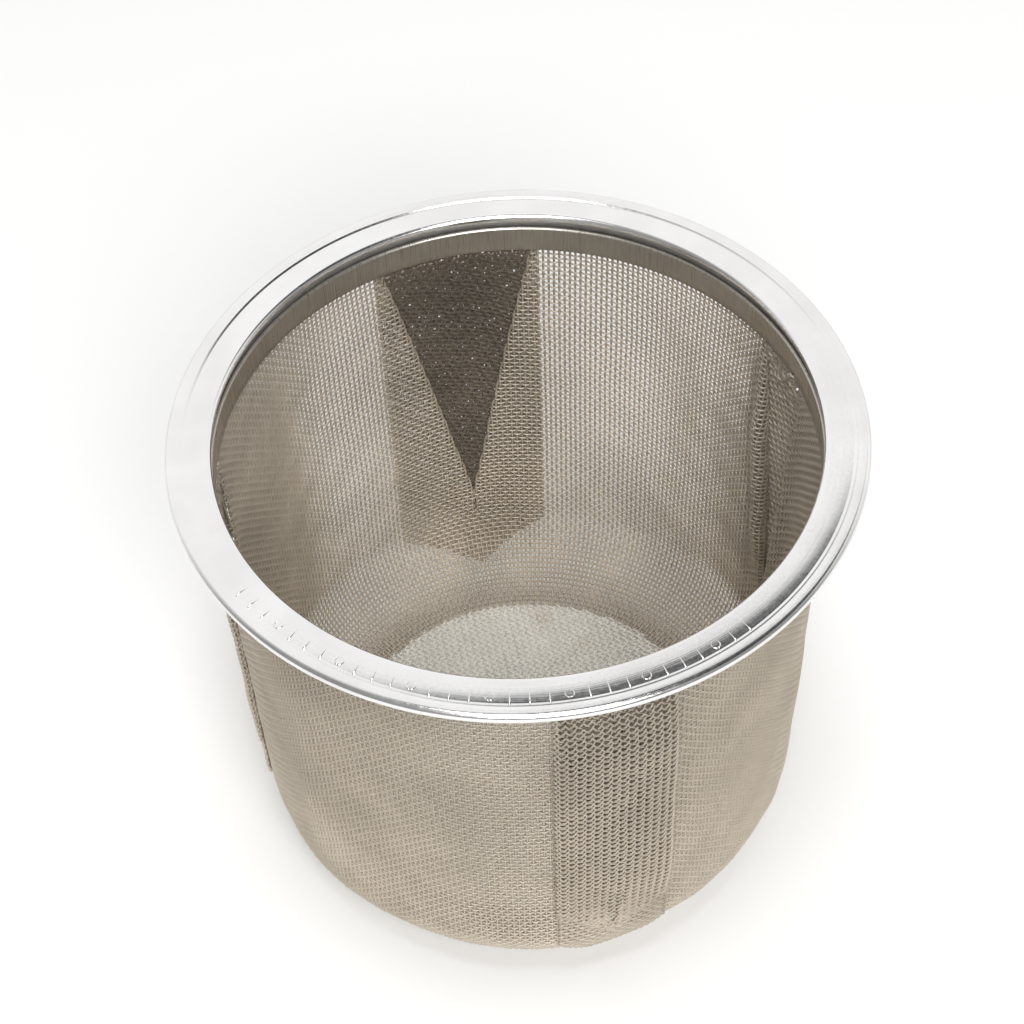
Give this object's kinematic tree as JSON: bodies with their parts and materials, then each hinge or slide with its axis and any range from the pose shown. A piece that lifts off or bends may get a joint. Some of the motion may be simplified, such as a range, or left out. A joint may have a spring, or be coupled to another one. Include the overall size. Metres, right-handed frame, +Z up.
{
  "type": "teapot infuser",
  "caption": "Round stainless steel basket infuser of pleated woven wire cloth, hung from a flat hemmed rim ring that rests on a teapot's mouth.",
  "frame": {"origin": "centre of the basket's flat floor, on its underside", "axes": "+Z up through the mouth, +Y towards the widest pleat within 11 degrees, +X to the right of it"},
  "size_m": [0.074, 0.074, 0.06],
  "materials": {
    "rim_steel": "pressed stainless steel, bright, finely brushed",
    "hoop_steel": "rolled stainless strip, satin",
    "wire_cloth": "plain-weave stainless wire cloth, about 40 wires to the inch, warm grey"
  },
  "bodies": {
    "root": {"rim_ring": "rim_steel", "clamp_hoop": "hoop_steel", "cloth_floor": "wire_cloth", "cloth_panel_back_left": "wire_cloth", "cloth_panel_front_left": "wire_cloth", "cloth_panel_front_right": "wire_cloth", "cloth_panel_back_right": "wire_cloth", "pleat_back": "wire_cloth", "pleat_left": "wire_cloth", "pleat_front": "wire_cloth", "pleat_right": "wire_cloth"}
  },
  "joints": []
}
